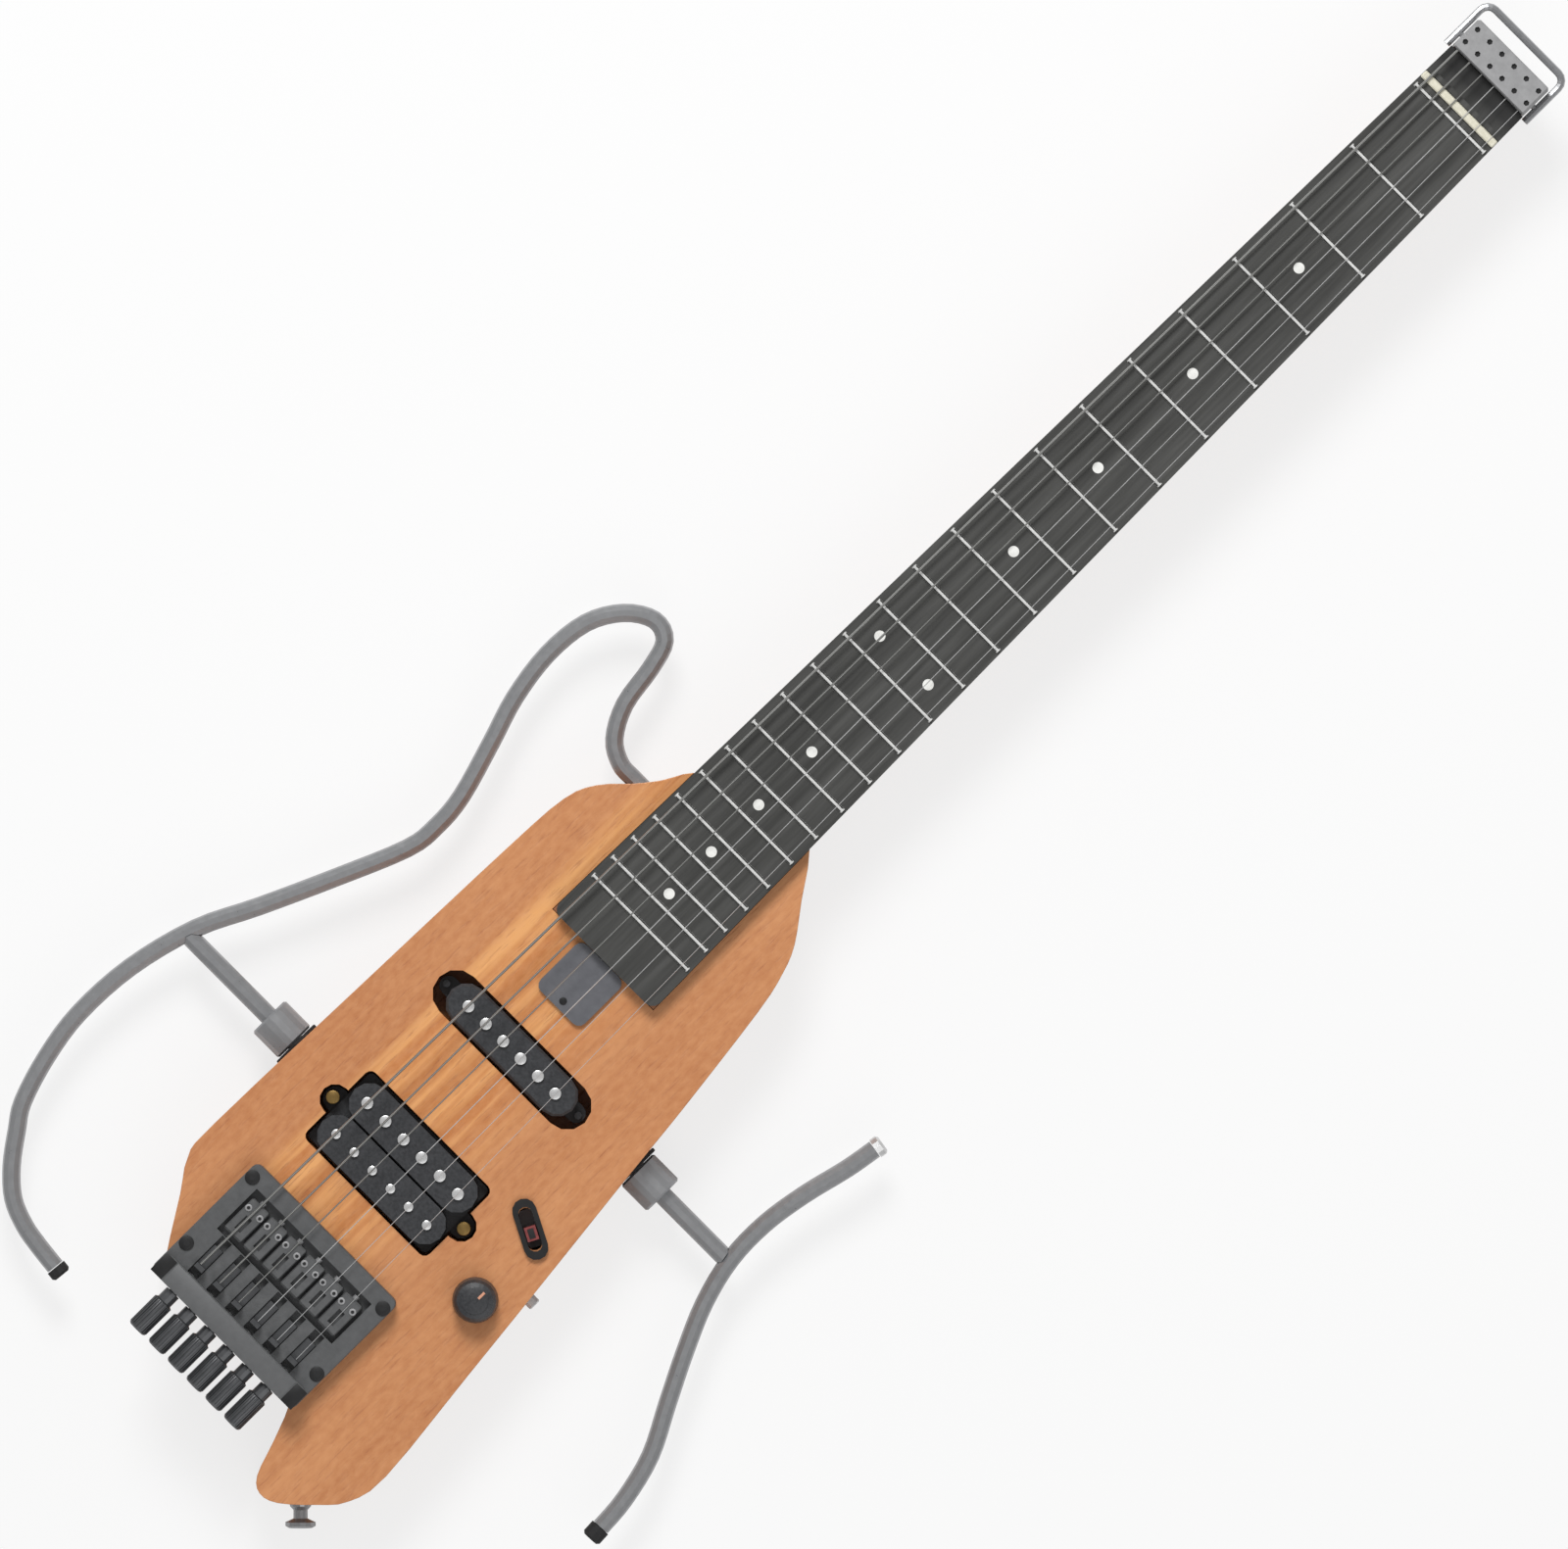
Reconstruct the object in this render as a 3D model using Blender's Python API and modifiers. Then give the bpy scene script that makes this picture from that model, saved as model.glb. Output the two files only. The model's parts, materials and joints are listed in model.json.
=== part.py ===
"""A headless silent guitar with two pull-off tube frames, lying on its back.

Metres, +Z out of the guitar's face, +Y towards the head, +X towards the treble side.
The origin is on the body's flat back, under the point where the scale length ends at the bridge.
"""

import math

import bmesh
import bpy
from mathutils import Matrix, Vector

MM = 0.001
GAP = 0.3 * MM

# Scale, strings and neck
SCALE = 648 * MM
FRETS = 22
STRINGS = 6
NUT_HALF = 21 * MM
BOARD_END_HALF = 29 * MM
BOARD_END = 160 * MM
BOARD_THICK = 6.5 * MM
BOARD_CORNER = 4 * MM
FRET_WIDE = 2.2 * MM
FRET_HIGH = 1.1 * MM
FRET_INSET = 1.2 * MM
PITCH_NUT = 7.06 * MM
PITCH_BRIDGE = 10.75 * MM
STRING_RADII = [r * MM for r in (0.58, 0.46, 0.33, 0.22, 0.17, 0.13)]
STRING_CLEAR = 0.5 * MM
ACTION = 3.4 * MM

# Body
BODY_THICK = 40 * MM
BODY_EDGE = 2.2 * MM
POCKET_FLOOR = 18 * MM
HEEL_THICK = 21 * MM
NECK_THICK = 15 * MM
HEEL_END = 236 * MM

# Head
NUT_AT = 651.5 * MM
NUT_LONG = 3.5 * MM
HEAD_AT = 670 * MM
HEAD_LONG = 15 * MM
HEAD_HALF = 20.5 * MM
BAIL_WIRE = 3.2 * MM
BAIL_PIVOT = HEAD_AT + 6 * MM
BAIL_REACH = HEAD_AT + 23 * MM
BAIL_CORNER = 4.5 * MM

# Bridge
BRIDGE_HALF = 41 * MM
BRIDGE_HEAD = 2 * MM
BRIDGE_TAIL = -60 * MM
BRIDGE_HIGH = 8 * MM
BRIDGE_FLOOR = 2.5 * MM
BRIDGE_CORNER = 3 * MM
BEAM_LONG = 10.5 * MM
BEAM_HIGH = 13 * MM
CHANNEL_HEAD = -29 * MM
CHANNEL_WIDE = 5.4 * MM
SADDLE_WELL_HEAD = -6 * MM
SADDLE_LONG = 17 * MM
SADDLE_WIDE = 9.6 * MM
SADDLE_SHORT = 2.5 * MM
PULLER_LONG = 12 * MM
PULLER_HIGH = 4.5 * MM
KNOB_LONG = 16 * MM
KNOB_RADIUS = 4.2 * MM
KNOB_NECK = 5 * MM
KNOB_PITCH = 10.9 * MM

# Pickups and controls
PICKUP_PROUD = 3 * MM
CAVITY_FLOOR = 18 * MM
HUMBUCKER_AT = 41.7 * MM
NECK_PICKUP_AT = 107.7 * MM
KNOB_AT = Vector((62 * MM, 25 * MM))
SWITCH_AT = Vector((57.3 * MM, 61.3 * MM))
SWITCH_TURN = math.radians(-27)
COVER_THICK = 2 * MM

# Tube frames
TUBE_RADIUS = 3.8 * MM
ROD_RADIUS = 3.9 * MM
TUBE_HEIGHT = BODY_THICK / 2
COLLAR_RADIUS = 9.3 * MM
SOCKET_DEEP = 22 * MM
GASKET = 1.6 * MM

BODY_OUTLINE = [
    (-20, 242), (-28.3, 240), (-35, 229), (-42, 220), (-52.5, 208.5), (-58, 195), (-60, 165), (-62.2, 90),
    (-64.5, 0),
    (-62.5, -17), (-54, -30), (-40, -52), (-34, -57), (34, -57), (39, -60), (45, -75),
    (50, -89), (56, -93.5), (64, -91), (76, -80), (84, -70), (87.5, -52), (82, 0), (76.5, 50),
    (70, 107), (66.5, 140), (60, 190), (56, 208), (51, 220), (40, 235), (29.2, 250), (20, 253),
]
BASS_ROUTE = [
    (-69, -88.5), (-80, -87.3), (-90, -85.5), (-101, -81), (-111, -72), (-120, -60), (-126.5, -50),
    (-132.7, -30), (-136, -8), (-134.5, 20), (-127, 50), (-115, 75), (-101.5, 105), (-89, 135),
    (-87, 150), (-88.5, 166), (-95.5, 190), (-101.8, 210), (-105, 232), (-103, 252), (-95, 266),
    (-84, 273), (-75, 270), (-71, 258), (-68, 240), (-61, 227), (-52, 221.5), (-44, 221), (-33.2, 221),
]
TREBLE_ROUTE = [
    (164.6, -5), (163.3, 10), (158.2, 30), (148, 50), (138, 70), (129.3, 90), (124.3, 110),
    (123.7, 130), (126.6, 150), (131.4, 170), (133.8, 184),
]
BASS_ROD_AT = 46.1 * MM
TREBLE_ROD_AT = 109 * MM


def clear_scene():
    for old in list(bpy.data.objects):
        bpy.data.objects.remove(old, do_unlink=True)


def collection(name, hidden=False):
    made = bpy.data.collections.new(name)
    bpy.context.scene.collection.children.link(made)
    made.hide_render = hidden
    return made


def material(name, colour, roughness, metallic=0.0):
    made = bpy.data.materials.get(name) or bpy.data.materials.new(name)
    made.use_nodes = True
    shader = made.node_tree.nodes["Principled BSDF"]
    shader.inputs["Base Color"].default_value = (*colour, 1.0)
    shader.inputs["Roughness"].default_value = roughness
    shader.inputs["Metallic"].default_value = metallic
    return made


def finishes():
    return {
        "wood": material("mahogany", (0.60, 0.27, 0.12), 0.5),
        "neck": material("neck_wood", (0.45, 0.21, 0.10), 0.5),
        "board": material("dark_board", (0.05, 0.05, 0.05), 0.5),
        "black": material("black_metal", (0.06, 0.06, 0.065), 0.4, 0.7),
        "grey": material("grey_metal", (0.30, 0.30, 0.31), 0.4, 0.9),
        "gun": material("gunmetal", (0.14, 0.14, 0.15), 0.35, 0.9),
        "steel": material("steel", (0.7, 0.7, 0.7), 0.25, 1.0),
        "plastic": material("black_plastic", (0.04, 0.04, 0.042), 0.45),
        "rubber": material("rubber", (0.02, 0.02, 0.02), 0.8),
        "red": material("red_plastic", (0.35, 0.03, 0.03), 0.4),
        "ivory": material("ivory", (0.8, 0.76, 0.62), 0.45),
        "green": material("circuit_board", (0.03, 0.16, 0.07), 0.5),
    }


def add(name, mesh, finish, place=None):
    """A named object from a mesh, with its own material."""
    made = bpy.data.objects.new(name, mesh)
    (PARTS if finish else CUTTERS).objects.link(made)
    if place is not None:
        made.matrix_world = place
    if finish:
        mesh.materials.clear()
        mesh.materials.append(FINISH[finish])
        mesh.shade_smooth()
        mesh.set_sharp_from_angle(angle=math.radians(35))
    else:
        made.hide_render = True
        made.display_type = "WIRE"
    return made


def weld(mesh):
    work = bmesh.new()
    work.from_mesh(mesh)
    bmesh.ops.remove_doubles(work, verts=work.verts, dist=1e-6)
    bmesh.ops.recalc_face_normals(work, faces=work.faces)
    work.to_mesh(mesh)
    work.free()
    return mesh


def from_curve(curve):
    """The welded mesh of a curve's data."""
    holder = bpy.data.objects.new("holder", curve)
    bpy.context.scene.collection.objects.link(holder)
    graph = bpy.context.evaluated_depsgraph_get()
    mesh = bpy.data.meshes.new_from_object(holder.evaluated_get(graph))
    bpy.data.objects.remove(holder)
    return weld(mesh)


def plate_mesh(outline, low, high):
    """A flat outline in XY, as a solid from height low to height high."""
    curve = bpy.data.curves.new("outline", "CURVE")
    curve.dimensions = "2D"
    curve.fill_mode = "BOTH"
    curve.extrude = (high - low) / 2
    spline = curve.splines.new("POLY")
    spline.points.add(len(outline) - 1)
    for point, (x, y) in zip(spline.points, outline):
        point.co = (x, y, 0, 1)
    spline.use_cyclic_u = True
    mesh = from_curve(curve)
    mesh.transform(Matrix.Translation((0, 0, (high + low) / 2)))
    return mesh


def plate(name, outline, low, high, finish, bevel=0.0, segments=2):
    made = add(name, plate_mesh(outline, low, high), finish)
    if bevel:
        round_edges(made, bevel, segments)
    return made


def round_edges(piece, width, segments=2):
    edges = piece.modifiers.new("edges", "BEVEL")
    edges.width = width
    edges.segments = segments
    edges.limit_method = "ANGLE"
    edges.angle_limit = math.radians(40)
    apply(piece)


def box_outline(x0, x1, y0, y1):
    return [(x0, y0), (x1, y0), (x1, y1), (x0, y1)]


def rounded(x0, x1, y0, y1, radius, steps=3):
    """A rectangle with round corners."""
    points = []
    corners = ((x1, y1, 0), (x0, y1, 1), (x0, y0, 2), (x1, y0, 3))
    for x, y, quarter in corners:
        cx = x - math.copysign(radius, x - (x0 + x1) / 2)
        cy = y - math.copysign(radius, y - (y0 + y1) / 2)
        for step in range(steps + 1):
            angle = math.pi / 2 * (quarter + step / steps)
            points.append((cx + radius * math.cos(angle), cy + radius * math.sin(angle)))
    return points


def slot_outline(cx, cy, half_long, radius, turn=0.0, steps=6):
    """A stadium, long along X before the turn."""
    points = []
    for side in (0, 1):
        for step in range(steps + 1):
            angle = math.pi * (side + step / steps) - math.pi / 2
            x = (half_long - radius) * (1 - 2 * side) + radius * math.cos(angle)
            y = radius * math.sin(angle)
            points.append((x, y))
    c, s = math.cos(turn), math.sin(turn)
    return [(cx + x * c - y * s, cy + x * s + y * c) for x, y in points]


def smooth_route(points, per_span, closed=False):
    """Points along a smooth curve through the given ones."""
    count = len(points)
    spans = count if closed else count - 1
    made = []
    for i in range(spans):
        near = [points[(i + k) % count] if closed else points[min(max(i + k, 0), count - 1)]
                for k in (-1, 0, 1, 2)]
        p0, p1, p2, p3 = (Vector(p) for p in near)
        for step in range(per_span):
            t = step / per_span
            made.append(0.5 * (2 * p1 + (p2 - p0) * t + (2 * p0 - 5 * p1 + 4 * p2 - p3) * t * t
                               + (3 * p1 - p0 - 3 * p2 + p3) * t ** 3))
    if not closed:
        made.append(Vector(points[-1]))
    return made


def tube_mesh(points, radius, resolution=3):
    curve = bpy.data.curves.new("route", "CURVE")
    curve.dimensions = "3D"
    curve.bevel_depth = radius
    curve.bevel_resolution = resolution
    curve.use_fill_caps = True
    spline = curve.splines.new("POLY")
    spline.points.add(len(points) - 1)
    for point, place in zip(spline.points, points):
        point.co = (*place, 1)
    return from_curve(curve)


def turned(name, profile, finish, start, along, steps=16):
    """A turned solid. profile is (radius, distance) pairs from the start; along is the axis."""
    mesh = bpy.data.meshes.new(name)
    rings = [(0.0, profile[-1][1])] + [(r, d) for r, d in reversed(profile)] + [(0.0, profile[0][1])]
    mesh.from_pydata([(r, 0, d) for r, d in rings], [(i, i + 1) for i in range(len(rings) - 1)], [])
    made = add(name, mesh, finish)
    turn = made.modifiers.new("turn", "SCREW")
    turn.axis = "Z"
    turn.steps = steps
    turn.render_steps = steps
    turn.use_merge_vertices = True
    turn.merge_threshold = 0.00001
    apply(made)
    weld(made.data)
    made.matrix_world = (Matrix.Translation(Vector(start))
                         @ Vector(along).to_track_quat("Z", "Y").to_matrix().to_4x4())
    if finish:
        made.data.shade_smooth()
        made.data.set_sharp_from_angle(angle=math.radians(35))
    return made


def apply(piece):
    """Replaces a piece's mesh by its evaluated mesh, with no modifiers left."""
    bpy.context.view_layer.update()
    graph = bpy.context.evaluated_depsgraph_get()
    mesh = bpy.data.meshes.new_from_object(piece.evaluated_get(graph))
    piece.modifiers.clear()
    piece.data = mesh


def combine(piece, others, operation):
    """Cuts the others from a piece, or joins them to it, and applies the result."""
    bpy.context.view_layer.update()
    for other in others:
        step = piece.modifiers.new("step", "BOOLEAN")
        step.operation = operation
        step.object = other
        apply(piece)
    for other in others:
        bpy.data.objects.remove(other)
    weld(piece.data)
    piece.data.shade_smooth()
    piece.data.set_sharp_from_angle(angle=math.radians(35))


def cut(piece, *others):
    combine(piece, others, "DIFFERENCE")


def join(piece, *others):
    combine(piece, others, "UNION")


def slab(x0, x1, y0, y1, z0, z1):
    """A plain box used as a cutter or as an addition."""
    return plate("slab", box_outline(x0, x1, y0, y1), z0, z1, None)


def rod(start, end, radius, resolution=3):
    return add("rod", tube_mesh([start, end], radius, resolution), None)


def merged(name, meshes):
    """Several separate solids as one operand."""
    work = bmesh.new()
    for mesh in meshes:
        work.from_mesh(mesh)
    mesh = bpy.data.meshes.new(name)
    work.to_mesh(mesh)
    work.free()
    return add(name, mesh, None)


def mm_points(points):
    return [tuple(value * MM for value in point) for point in points]


def board_half(y):
    """Half the board's width at a distance from the bridge line."""
    return NUT_HALF + (BOARD_END_HALF - NUT_HALF) * (SCALE - y) / (SCALE - BOARD_END)


def string_x(index, y):
    pitch = PITCH_BRIDGE + (PITCH_NUT - PITCH_BRIDGE) * y / SCALE
    return (index - (STRINGS - 1) / 2) * pitch


def string_low(y):
    """Height of the strings' undersides."""
    return FRET_TOP + STRING_CLEAR + (ACTION - STRING_CLEAR) * (SCALE - y) / SCALE


def saddle_x(index):
    return (index - (STRINGS - 1) / 2) * PITCH_BRIDGE


BOARD_LOW = BODY_THICK + GAP
BOARD_TOP = BOARD_LOW + BOARD_THICK
FRET_TOP = BOARD_TOP + FRET_HIGH
BRIDGE_LOW = BODY_THICK + GAP
HEAD_LOW = 27 * MM
BEAM_HEAD = BRIDGE_TAIL + BEAM_LONG


def edge_distance(start, along):
    """How far the body's outline is from a point inside it, in one direction."""
    outline = smooth_route(mm_points(BODY_OUTLINE), 4, closed=True)
    across = Vector((-along[1], along[0]))
    for one, two in zip(outline, outline[1:] + outline[:1]):
        side_one, side_two = (one - start).dot(across), (two - start).dot(across)
        if side_one * side_two <= 0 and side_one != side_two:
            hit = one + (two - one) * side_one / (side_one - side_two)
            if (hit - start).dot(along) > 0:
                return (hit - start).dot(along)
    return 0.0


def body():
    outline = smooth_route(mm_points(BODY_OUTLINE), 3, closed=True)
    made = plate("body", [tuple(p) for p in outline], 0, BODY_THICK, "wood", BODY_EDGE)
    top = BODY_THICK + 1 * MM
    pocket_top = 260 * MM
    pocket = [(-board_half(BOARD_END) - GAP, BOARD_END), (board_half(BOARD_END) + GAP, BOARD_END),
              (board_half(pocket_top) + GAP, pocket_top), (-board_half(pocket_top) - GAP, pocket_top)]
    cut(
        made,
        plate("cutter", pocket, POCKET_FLOOR, top, None),
        slab(-5 * MM, 5 * MM, 138 * MM, 162 * MM, 29 * MM, top),
        plate("cutter", rounded(-35.5 * MM, 35.5 * MM, 22 * MM, 61.5 * MM, 3 * MM), CAVITY_FLOOR, top, None),
        plate("cutter", slot_outline(0, 42 * MM, 43 * MM, 6.5 * MM), CAVITY_FLOOR - 0.5 * MM, top, None),
        plate("cutter", slot_outline(0, NECK_PICKUP_AT, 42.2 * MM, 10 * MM), CAVITY_FLOOR, top, None),
        plate("cutter", rounded(42 * MM, 67 * MM, 10 * MM, 72 * MM, 4 * MM), -MM, 26 * MM, None),
        plate("cutter", rounded(38 * MM, 71 * MM, 6 * MM, 76 * MM, 6 * MM), -MM, COVER_THICK + GAP, None),
        rod((*KNOB_AT, -MM), (*KNOB_AT, 26.2 * MM), 8.6 * MM, 4),
        rod((*KNOB_AT, 20 * MM), (*KNOB_AT, top), 4 * MM),
        plate("cutter", slot_outline(*SWITCH_AT, 9 * MM, 3.2 * MM, SWITCH_TURN), 20 * MM, top, None),
        rod((60 * MM, JACK_AT, TUBE_HEIGHT), (90 * MM, JACK_AT, TUBE_HEIGHT), 3.1 * MM),
        rod((BASS_SEAT + SOCKET_DEEP, BASS_ROD_AT, TUBE_HEIGHT),
            (BASS_SEAT - 20 * MM, BASS_ROD_AT, TUBE_HEIGHT), ROD_RADIUS + 0.4 * MM),
        rod((BASS_SEAT, BASS_ROD_AT, TUBE_HEIGHT),
            (BASS_SEAT - 20 * MM, BASS_ROD_AT, TUBE_HEIGHT), COLLAR_RADIUS + 2.2 * MM, 6),
        rod((TREBLE_SEAT - SOCKET_DEEP, TREBLE_ROD_AT, TUBE_HEIGHT),
            (TREBLE_SEAT + 20 * MM, TREBLE_ROD_AT, TUBE_HEIGHT), ROD_RADIUS + 0.4 * MM),
        rod((TREBLE_SEAT, TREBLE_ROD_AT, TUBE_HEIGHT),
            (TREBLE_SEAT + 20 * MM, TREBLE_ROD_AT, TUBE_HEIGHT), COLLAR_RADIUS + 2.2 * MM, 6),
        rod((-32.5 * MM, 221 * MM, TUBE_HEIGHT), (-70 * MM, 221 * MM, TUBE_HEIGHT), TUBE_RADIUS + 0.5 * MM),
        rod(tuple(BUTTON_SEAT - BUTTON_AXIS * 16 * MM), tuple(BUTTON_SEAT + BUTTON_AXIS * 9 * MM), 2.3 * MM),
    )


BASS_SEAT = -62.9 * MM
TREBLE_SEAT = 68.8 * MM
JACK_AT = 40 * MM
BUTTON_AXIS = Vector((0.709, -0.705, 0)).normalized()
BUTTON_FROM = Vector((60 * MM, -74.8 * MM))
BUTTON_SEAT = Vector((*BUTTON_FROM, TUBE_HEIGHT)) + BUTTON_AXIS * edge_distance(BUTTON_FROM, BUTTON_AXIS.xy)


def neck_section(y, thick, square):
    """Half of a flattened oval under the flat top: a high square value gives the boxy heel."""
    points = []
    for step in range(13):
        angle = math.pi * step / 12
        c, s = math.cos(angle), math.sin(angle)
        x = board_half(y) * math.copysign(abs(c) ** (2 / square), c)
        points.append((x, y, BODY_THICK - thick * abs(s) ** (2 / square)))
    return points


def neck():
    """A loft from the boxy heel in the body to the round neck and its end under the clamp block."""
    sections = [
        neck_section(BOARD_END + GAP, HEEL_THICK, 14),
        neck_section(HEEL_END, HEEL_THICK, 14),
        neck_section(HEEL_END + 14 * MM, HEEL_THICK - 2 * MM, 4),
        neck_section(HEEL_END + 34 * MM, NECK_THICK + 1.5 * MM, 2.5),
        neck_section(450 * MM, NECK_THICK + 0.8 * MM, 2.3),
        neck_section(SCALE, NECK_THICK - 0.5 * MM, 2.3),
        neck_section(HEAD_AT - GAP, NECK_THICK - 2 * MM, 2.6),
    ]
    work = bmesh.new()
    rings = [[work.verts.new(p) for p in section] for section in sections]
    for ring, following in zip(rings, rings[1:]):
        count = len(ring)
        for i in range(count):
            j = (i + 1) % count
            work.faces.new((ring[i], ring[j], following[j], following[i]))
    work.faces.new(rings[0])
    work.faces.new(reversed(rings[-1]))
    mesh = bpy.data.meshes.new("neck")
    bmesh.ops.recalc_face_normals(work, faces=work.faces)
    work.to_mesh(mesh)
    work.free()
    made = add("neck", mesh, "neck")
    cut(made, slab(-3 * MM, 3 * MM, 150 * MM, 640 * MM, 32 * MM, 41 * MM))
    turned("truss_rod", [(2.6 * MM, 0), (2.6 * MM, 10 * MM), (2 * MM, 12 * MM), (2 * MM, 490 * MM)], "steel",
           (0, 142 * MM, 35 * MM), (0, 1, 0), 10)


def fretboard():
    end, head = BOARD_END, HEAD_AT - GAP
    corner = BOARD_CORNER
    outline = [(board_half(head), head), (-board_half(head), head)]
    for side in (-1, 1):
        x = side * board_half(end)
        for step in range(4):
            angle = math.pi / 2 * (step / 3 if side < 0 else 1 - step / 3)
            outline.append((x - side * corner * (1 - math.cos(angle)), end + corner * (1 - math.sin(angle))))
    made = plate("fretboard", outline, BOARD_LOW, BOARD_TOP, "board")
    cut(made,
        slab(-30 * MM, 30 * MM, NUT_AT - GAP, NUT_AT + NUT_LONG + GAP, BOARD_TOP - 2 * MM, BOARD_TOP + MM),
        slab(-30 * MM, 30 * MM, NUT_AT + NUT_LONG + 2.5 * MM, HEAD_AT + 5 * MM, BOARD_TOP - 2.5 * MM,
             BOARD_TOP + 2 * MM))
    frets = []
    for fret in range(FRETS + 1):
        y = SCALE * 2 ** (-fret / 12)
        half = board_half(y) - FRET_INSET
        frets.append(plate_mesh(box_outline(-half, half, y - FRET_WIDE / 2, y + FRET_WIDE / 2),
                                BOARD_TOP - 0.5 * MM, FRET_TOP))
    wires = merged("frets", frets)
    round_edges(wires, 0.5 * MM, 1)
    join(made, wires)
    nut_half = board_half(NUT_AT) - 0.2 * MM
    plate("string_guide", box_outline(-nut_half, nut_half, NUT_AT, NUT_AT + NUT_LONG),
          BOARD_TOP - 2 * MM + GAP, string_low(NUT_AT) - GAP, "ivory", 0.5 * MM, 1)
    plate("neck_end_cover", rounded(-12.2 * MM, 13.4 * MM, 133 * MM, BOARD_END - GAP, 3.5 * MM), BOARD_LOW,
          BOARD_LOW + 1.6 * MM, "grey")


def head():
    top = string_low(HEAD_AT) + 3.2 * MM
    made = plate("clamp_block", box_outline(-HEAD_HALF, HEAD_HALF, HEAD_AT, HEAD_AT + HEAD_LONG), HEAD_LOW, top,
                 "grey", MM, 1)
    holes = []
    for index in range(STRINGS):
        for row in (4.2 * MM, 11.2 * MM):
            place = (string_x(index, SCALE), HEAD_AT + row)
            holes.append(tube_mesh([(*place, top - 2 * MM), (*place, top + MM)], 1.25 * MM, 1))
    pivot = (BAIL_PIVOT, 39 * MM)
    holes.append(tube_mesh([(-30 * MM, *pivot), (-16 * MM, *pivot)], 1.6 * MM, 2))
    holes.append(tube_mesh([(16 * MM, *pivot), (30 * MM, *pivot)], 1.6 * MM, 2))
    cut(made, merged("holes", holes))
    leg = HEAD_HALF + BAIL_WIRE / 2 + 0.5 * MM
    route = [(-leg, BAIL_PIVOT - 7 * MM, pivot[1])]
    for side in (-1, 1):
        for step in range(5):
            angle = math.pi / 2 * (step / 4 if side < 0 else 1 - step / 4)
            route.append((side * (leg - BAIL_CORNER * (1 - math.cos(angle))),
                          BAIL_REACH - BAIL_CORNER * (1 - math.sin(angle)), pivot[1]))
    route.append((leg, BAIL_PIVOT - 7 * MM, pivot[1]))
    bail = add("hanger_bail", tube_mesh(route, BAIL_WIRE / 2, 2), "gun")
    join(bail, rod((-leg, *pivot), (-17 * MM, *pivot), 1.2 * MM, 2), rod((17 * MM, *pivot), (leg, *pivot), 1.2 * MM, 2))


def strings():
    for index, radius in enumerate(STRING_RADII):
        ends = [(string_x(index, y), y, string_low(y) + radius) for y in (HEAD_AT - GAP, PULLER_FACE + GAP)]
        add(f"string_{STRINGS - index}", tube_mesh(ends, radius, 1), "steel")


PULLER_FACE = -44 * MM


def bridge():
    plate_top = BRIDGE_LOW + BRIDGE_HIGH
    floor = BRIDGE_LOW + BRIDGE_FLOOR
    made = plate("bridge_plate", rounded(-BRIDGE_HALF, BRIDGE_HALF, BRIDGE_TAIL, BRIDGE_HEAD, BRIDGE_CORNER),
                 BRIDGE_LOW, plate_top, "black", 0.6 * MM, 1)
    well = STRINGS / 2 * PITCH_BRIDGE + MM
    cutters = [plate_mesh(box_outline(-well, well, CHANNEL_HEAD, SADDLE_WELL_HEAD), floor, plate_top + MM)]
    for index in range(STRINGS):
        x = saddle_x(index)
        cutters.append(plate_mesh(box_outline(x - CHANNEL_WIDE / 2, x + CHANNEL_WIDE / 2, BEAM_HEAD,
                                              CHANNEL_HEAD - 0.4 * MM), floor, plate_top + MM))
    cut(made, merged("wells", cutters))
    join(made, plate("beam", rounded(-BRIDGE_HALF + 0.3 * MM, BRIDGE_HALF - 0.3 * MM, BRIDGE_TAIL + 0.3 * MM,
                                     BEAM_HEAD - 0.2 * MM, 3 * MM), BRIDGE_LOW + MM, BRIDGE_LOW + BEAM_HIGH, None))
    axis_height = BRIDGE_LOW + BEAM_HIGH / 2 + 1 * MM
    bores = []
    for index in range(STRINGS):
        x = (index - (STRINGS - 1) / 2) * KNOB_PITCH
        bores.append(tube_mesh([(x, BRIDGE_TAIL - MM, axis_height), (x, BEAM_HEAD + 2 * MM, axis_height)],
                               2.35 * MM, 2))
    cut(made, merged("bores", bores))
    for index in range(STRINGS):
        saddle_and_tuner(index, floor, axis_height)


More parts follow.
